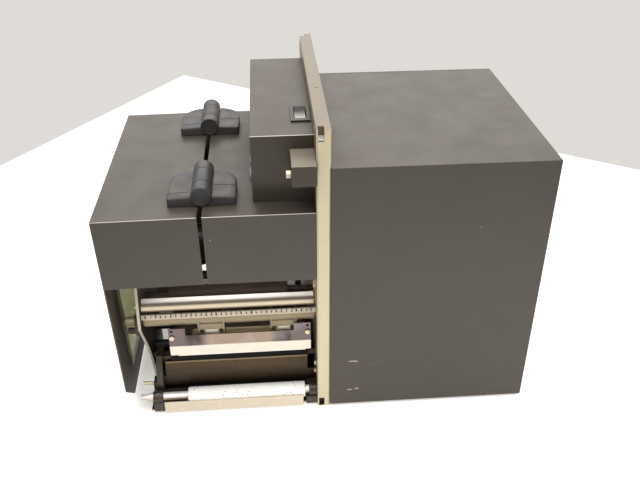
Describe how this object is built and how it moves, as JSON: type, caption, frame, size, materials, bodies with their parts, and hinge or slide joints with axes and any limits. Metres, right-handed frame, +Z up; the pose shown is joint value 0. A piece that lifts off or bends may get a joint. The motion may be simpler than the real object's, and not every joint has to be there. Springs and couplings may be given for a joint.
{
  "type": "thermal label print engine",
  "caption": "Thermal label print engine: support plate with electronics box, print head, rollers, ribbon spindles and a folding media cover with window and control box.",
  "frame": {"origin": "on the support plate's bottom face, midway through its thickness and 120 mm behind its front edge, on the surface that the machine stands on", "axes": "+X to the right, from the media cover to the electronics box, the longest way; +Y to the back, away from the label exit; +Z up"},
  "size_m": [0.3914, 0.2665, 0.2945],
  "materials": {
    "plate_tan": "satin, gold chromate",
    "case_black": "fine textured powder coat",
    "control_black": "fine textured powder coat",
    "side_black": "satin black",
    "black_plastic": "moulded",
    "hinge_black": "moulded, satin",
    "connector_metal": "plated",
    "rubber_black": "matte",
    "board_green": "solder mask",
    "zinc_plate": "zinc plated",
    "motor_dark": "painted",
    "aluminium_bare": "machined",
    "cable_blue": "sleeved",
    "display_glass": "polished",
    "display_grey": "matte",
    "key_grey": "moulded",
    "screw_steel": "bright",
    "tray_cream": "satin",
    "peel_brown": "semi-gloss",
    "brush_tan": "strip with dark bristle tufts",
    "steel_rod": "ground",
    "bracket_brown": "satin",
    "chrome_bar": "polished",
    "roller_white": "matte, slightly worn",
    "roller_dark": "dark anodised",
    "spindle_dark": "moulded",
    "toggle_tan": "plated",
    "head_black": "black anodised",
    "guard_mirror": "mirror polished",
    "window_amber": "translucent, smoked yellow-green"
  },
  "bodies": {
    "frame": {"support_plate": "plate_tan", "enclosure_cover": "case_black", "rear_panel": "case_black", "power_inlet": "black_plastic", "data_ports": "connector_metal", "fan_frame": "black_plastic", "rubber_feet": "rubber_black", "main_board": "board_green", "power_supply": "zinc_plate", "motor_bracket": "zinc_plate", "platen_motor": "motor_dark", "drive_belt": "rubber_black", "supply_motor": "zinc_plate", "takeup_motor": "zinc_plate", "wiring_harness": "cable_blue", "fixed_cover": "case_black", "control_box": "control_black", "display_window": "display_glass", "display_module": "display_grey", "switch_bezel": "black_plastic", "front_bracket": "case_black", "case_screws": "screw_steel", "side_plate": "side_black", "base_tray": "tray_cream", "peel_plate": "peel_brown", "static_brush": "brush_tan", "cross_rods": "steel_rod", "shaft_bearings": "steel_rod", "roller_brackets": "bracket_brown", "fixed_hinge_leaves": "hinge_black"},
    "door": {"door_shell": "case_black", "door_window": "window_amber", "door_hinge_leaves": "hinge_black"},
    "platen": {"platen_shaft": "steel_rod", "platen_roller": "rubber_black", "platen_pulley": "aluminium_bare"},
    "motor_shaft": {"motor_pulley": "aluminium_bare"},
    "front_roller": {"front_shaft": "chrome_bar", "front_roller": "roller_white", "front_pulley": "aluminium_bare"},
    "pinch": {"pinch_roller": "rubber_black"},
    "guide": {"guide_roller": "chrome_bar"},
    "ribbon_guide": {"ribbon_roller": "roller_dark"},
    "supply": {"supply_spindle": "spindle_dark"},
    "takeup": {"takeup_spindle": "spindle_dark"},
    "toggle": {"toggle_shaft": "toggle_tan", "toggle_lever": "side_black", "toggles": "toggle_tan"},
    "head": {"head_carrier": "head_black", "print_head": "aluminium_bare", "head_guard": "guard_mirror", "head_screws": "screw_steel"},
    "media_guide": {"media_guide": "black_plastic"},
    "sensor": {"media_sensor": "black_plastic"},
    "fan": {"fan_rotor": "black_plastic"},
    "rocker": {"power_rocker": "black_plastic"},
    "pause_button": {"pause_key": "key_grey"},
    "feed_button": {"feed_key": "key_grey"},
    "cancel_button": {"cancel_key": "key_grey"},
    "menu_button": {"menu_key": "key_grey"}
  },
  "joints": [
    {"name": "door_swing", "type": "hinge", "parent": "frame", "child": "door", "pos_m": [-0.1025, 0, 0.2284], "axis": [0, 1, 0], "range_deg": [0, 118]},
    {"name": "platen_spin", "type": "hinge", "parent": "frame", "child": "platen", "pos_m": [-0.08, -0.082, 0.0395], "axis": [1, 0, 0], "continuous": true},
    {"name": "motor_spin", "type": "hinge", "parent": "frame", "child": "motor_shaft", "pos_m": [0.03, -0.035, 0.095], "axis": [1, 0, 0], "continuous": true},
    {"name": "front_spin", "type": "hinge", "parent": "frame", "child": "front_roller", "pos_m": [-0.08, -0.11, 0.0145], "axis": [1, 0, 0], "continuous": true},
    {"name": "pinch_spin", "type": "hinge", "parent": "frame", "child": "pinch", "pos_m": [-0.08, -0.0975, 0.01], "axis": [1, 0, 0], "continuous": true},
    {"name": "guide_spin", "type": "hinge", "parent": "frame", "child": "guide", "pos_m": [-0.08, -0.089, 0.11], "axis": [1, 0, 0], "continuous": true},
    {"name": "ribbon_spin", "type": "hinge", "parent": "frame", "child": "ribbon_guide", "pos_m": [-0.08, -0.062, 0.103], "axis": [1, 0, 0], "continuous": true},
    {"name": "supply_spin", "type": "hinge", "parent": "frame", "child": "supply", "pos_m": [-0.08, 0.052, 0.15], "axis": [1, 0, 0], "continuous": true},
    {"name": "takeup_spin", "type": "hinge", "parent": "frame", "child": "takeup", "pos_m": [-0.08, -0.044, 0.165], "axis": [1, 0, 0], "continuous": true},
    {"name": "toggle_turn", "type": "hinge", "parent": "frame", "child": "toggle", "pos_m": [-0.08, -0.088, 0.092], "axis": [1, 0, 0], "range_deg": [0, 60]},
    {"name": "head_lift", "type": "hinge", "parent": "frame", "child": "head", "pos_m": [-0.08, -0.018, 0.07], "axis": [-1, 0, 0], "range_deg": [0, 3]},
    {"name": "media_guide_slide", "type": "slide", "parent": "frame", "child": "media_guide", "axis": [1, 0, 0], "range_m": [-0.07, 0.034]},
    {"name": "sensor_slide", "type": "slide", "parent": "frame", "child": "sensor", "axis": [1, 0, 0], "range_m": [-0.055, 0.055]},
    {"name": "fan_spin", "type": "hinge", "parent": "frame", "child": "fan", "pos_m": [0.145, 0.095, 0.22], "axis": [0, 1, 0], "continuous": true},
    {"name": "rocker_tilt", "type": "hinge", "parent": "frame", "child": "rocker", "pos_m": [-0.0155, -0.051, 0.277], "axis": [1, 0, 0], "range_deg": [-16, 0]},
    {"name": "pause_press", "type": "slide", "parent": "frame", "child": "pause_button", "axis": [1, 0, 0], "range_m": [0, 0.0012], "stiffness_N_per_m": 300},
    {"name": "feed_press", "type": "slide", "parent": "frame", "child": "feed_button", "axis": [1, 0, 0], "range_m": [0, 0.0012], "stiffness_N_per_m": 300},
    {"name": "cancel_press", "type": "slide", "parent": "frame", "child": "cancel_button", "axis": [1, 0, 0], "range_m": [0, 0.0012], "stiffness_N_per_m": 300},
    {"name": "menu_press", "type": "slide", "parent": "frame", "child": "menu_button", "axis": [1, 0, 0], "range_m": [0, 0.0012], "stiffness_N_per_m": 300}
  ],
  "couplings": [
    {"joint": "motor_spin", "follows": "platen_spin", "ratio": 1.6},
    {"joint": "front_spin", "follows": "platen_spin", "ratio": 1.3333},
    {"joint": "pinch_spin", "follows": "platen_spin", "ratio": -2.0667},
    {"joint": "head_lift", "follows": "toggle_turn", "ratio": 0.05}
  ]
}
